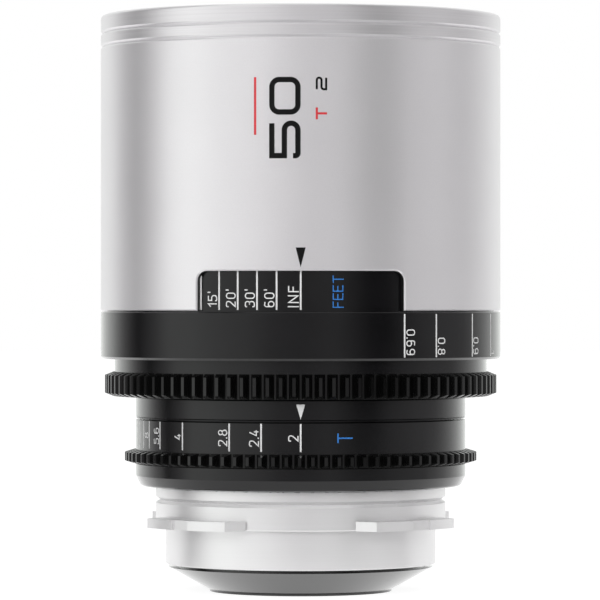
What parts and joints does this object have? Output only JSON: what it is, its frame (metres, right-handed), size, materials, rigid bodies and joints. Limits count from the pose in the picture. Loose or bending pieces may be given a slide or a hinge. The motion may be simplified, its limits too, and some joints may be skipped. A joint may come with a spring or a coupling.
{
  "type": "cinema prime lens",
  "caption": "Upright cylindrical lens with a silver barrel, a geared focus ring that slides an inner glass carriage, a geared iris ring that swings the blades, and an eared bayonet mount",
  "frame": {"origin": "on the optical axis, in the plane of the mount's flange seat", "axes": "+Z along the optical axis towards the front glass, -Y towards the side with the index marks"},
  "size_m": [0.08, 0.08, 0.1149],
  "materials": {
    "silver_anodised": "satin silver anodised, fine blasted",
    "black_anodised": "satin black anodised",
    "glass": "polished, coated",
    "steel": "turned steel",
    "brass": "turned brass",
    "washer": "slick white plastic",
    "blade_steel": "blackened spring steel"
  },
  "bodies": {
    "barrel": {"front_ring": "silver_anodised", "front_barrel": "silver_anodised", "front_cell": "black_anodised", "front_element": "glass", "front_retainer": "black_anodised", "cylinder_lens_front": "glass", "cylinder_lens_rear": "glass", "front_spacer": "black_anodised", "cylinder_retainer": "black_anodised", "cell_screws": "steel", "main_tube": "black_anodised", "index_ring": "black_anodised", "focus_washer": "washer", "focus_stop_screw": "steel", "iris_base": "black_anodised", "iris_spacer": "black_anodised", "iris_cover": "black_anodised", "iris_washer": "washer", "rear_housing": "black_anodised", "mount_shim": "steel", "lens_mount": "silver_anodised", "mount_screws": "steel", "rear_cell": "black_anodised", "rear_lens_front": "glass", "rear_spacer": "black_anodised", "rear_lens_rear": "glass", "rear_retainer": "black_anodised", "rear_cone": "black_anodised"},
    "focus_ring": {"focus_ring": "black_anodised", "focus_gear": "black_anodised", "cam_sleeve": "brass", "focus_ring_screws": "steel"},
    "focus_carriage": {"focus_carriage": "black_anodised", "focus_lens_front": "glass", "focus_lens_rear": "glass", "focus_spacer": "black_anodised", "focus_retainer": "black_anodised", "cam_followers": "steel"},
    "iris_ring": {"iris_ring": "black_anodised", "iris_gear": "black_anodised", "iris_drive_plate": "steel", "iris_drive_screw": "steel"},
    "blade_01": {"iris_blade_01": "blade_steel"},
    "blade_02": {"iris_blade_02": "blade_steel"},
    "blade_03": {"iris_blade_03": "blade_steel"},
    "blade_04": {"iris_blade_04": "blade_steel"},
    "blade_05": {"iris_blade_05": "blade_steel"},
    "blade_06": {"iris_blade_06": "blade_steel"},
    "blade_07": {"iris_blade_07": "blade_steel"},
    "blade_08": {"iris_blade_08": "blade_steel"},
    "blade_09": {"iris_blade_09": "blade_steel"},
    "blade_10": {"iris_blade_10": "blade_steel"}
  },
  "joints": [
    {"name": "focus_turn", "type": "hinge", "parent": "barrel", "child": "focus_ring", "pos_m": [0, 0, 0.034], "axis": [0, 0, 1], "range_deg": [0, 150]},
    {"name": "carriage_slide", "type": "slide", "parent": "barrel", "child": "focus_carriage", "axis": [0, 0, 1], "range_m": [0, 0.007]},
    {"name": "iris_turn", "type": "hinge", "parent": "barrel", "child": "iris_ring", "pos_m": [0, 0, 0.017], "axis": [0, 0, 1], "range_deg": [0, 80]},
    {"name": "blade_01_swing", "type": "hinge", "parent": "barrel", "child": "blade_01", "pos_m": [0.0224, 0, 0.014], "axis": [0, 0, 1], "range_deg": [0, 27.3]},
    {"name": "blade_02_swing", "type": "hinge", "parent": "barrel", "child": "blade_02", "pos_m": [0.01812, 0.01317, 0.014], "axis": [0, 0, 1], "range_deg": [0, 27.3]},
    {"name": "blade_03_swing", "type": "hinge", "parent": "barrel", "child": "blade_03", "pos_m": [0.00692, 0.0213, 0.014], "axis": [0, 0, 1], "range_deg": [0, 27.3]},
    {"name": "blade_04_swing", "type": "hinge", "parent": "barrel", "child": "blade_04", "pos_m": [-0.00692, 0.0213, 0.014], "axis": [0, 0, 1], "range_deg": [0, 27.3]},
    {"name": "blade_05_swing", "type": "hinge", "parent": "barrel", "child": "blade_05", "pos_m": [-0.01812, 0.01317, 0.014], "axis": [0, 0, 1], "range_deg": [0, 27.3]},
    {"name": "blade_06_swing", "type": "hinge", "parent": "barrel", "child": "blade_06", "pos_m": [-0.0224, 0, 0.014], "axis": [0, 0, 1], "range_deg": [0, 27.3]},
    {"name": "blade_07_swing", "type": "hinge", "parent": "barrel", "child": "blade_07", "pos_m": [-0.01812, -0.01317, 0.014], "axis": [0, 0, 1], "range_deg": [0, 27.3]},
    {"name": "blade_08_swing", "type": "hinge", "parent": "barrel", "child": "blade_08", "pos_m": [-0.00692, -0.0213, 0.014], "axis": [0, 0, 1], "range_deg": [0, 27.3]},
    {"name": "blade_09_swing", "type": "hinge", "parent": "barrel", "child": "blade_09", "pos_m": [0.00692, -0.0213, 0.014], "axis": [0, 0, 1], "range_deg": [0, 27.3]},
    {"name": "blade_10_swing", "type": "hinge", "parent": "barrel", "child": "blade_10", "pos_m": [0.01812, -0.01317, 0.014], "axis": [0, 0, 1], "range_deg": [0, 27.3]}
  ],
  "couplings": [
    {"joint": "carriage_slide", "follows": "focus_turn", "m_per_rad": 0.0026738},
    {"joint": "blade_01_swing", "follows": "iris_turn", "ratio": 0.34},
    {"joint": "blade_02_swing", "follows": "iris_turn", "ratio": 0.34},
    {"joint": "blade_03_swing", "follows": "iris_turn", "ratio": 0.34},
    {"joint": "blade_04_swing", "follows": "iris_turn", "ratio": 0.34},
    {"joint": "blade_05_swing", "follows": "iris_turn", "ratio": 0.34},
    {"joint": "blade_06_swing", "follows": "iris_turn", "ratio": 0.34},
    {"joint": "blade_07_swing", "follows": "iris_turn", "ratio": 0.34},
    {"joint": "blade_08_swing", "follows": "iris_turn", "ratio": 0.34},
    {"joint": "blade_09_swing", "follows": "iris_turn", "ratio": 0.34},
    {"joint": "blade_10_swing", "follows": "iris_turn", "ratio": 0.34}
  ]
}
